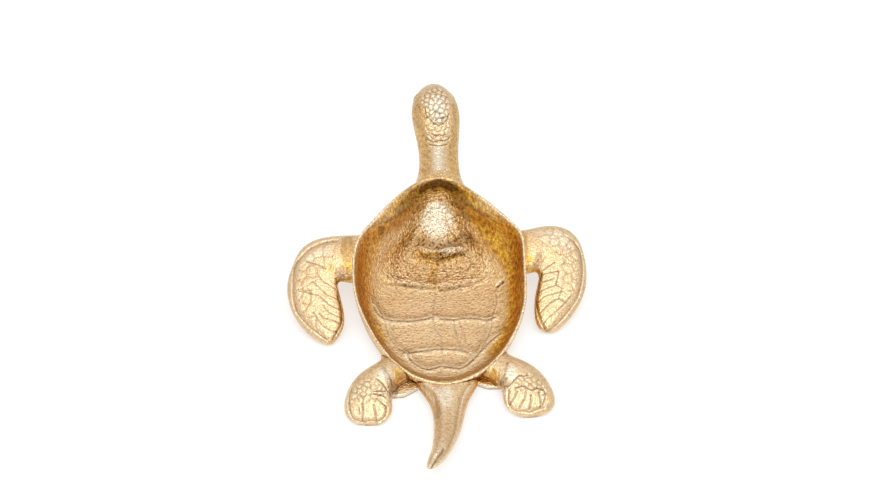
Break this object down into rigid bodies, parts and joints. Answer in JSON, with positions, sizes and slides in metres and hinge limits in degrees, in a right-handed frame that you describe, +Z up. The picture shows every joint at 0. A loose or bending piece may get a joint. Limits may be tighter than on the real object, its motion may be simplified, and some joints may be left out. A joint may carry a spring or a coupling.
{
  "type": "turtle figurine",
  "caption": "Open cast sea turtle dish: a shell-shaped bowl with neck and head, curved front flippers, hind feet and a bent tail around it.",
  "frame": {"origin": "on the resting surface, under the middle of the overall length and width", "axes": "+Y towards the head, +X to the turtle's right, +Z up"},
  "size_m": [0.1351, 0.193, 0.0574],
  "materials": {
    "gilt_metal": "cast relief with a satin gold finish"
  },
  "bodies": {
    "root": {"shell_dish": "gilt_metal", "neck_and_head": "gilt_metal", "front_flipper_left": "gilt_metal", "front_flipper_right": "gilt_metal", "hind_foot_left": "gilt_metal", "hind_foot_right": "gilt_metal", "tail": "gilt_metal"}
  },
  "joints": []
}
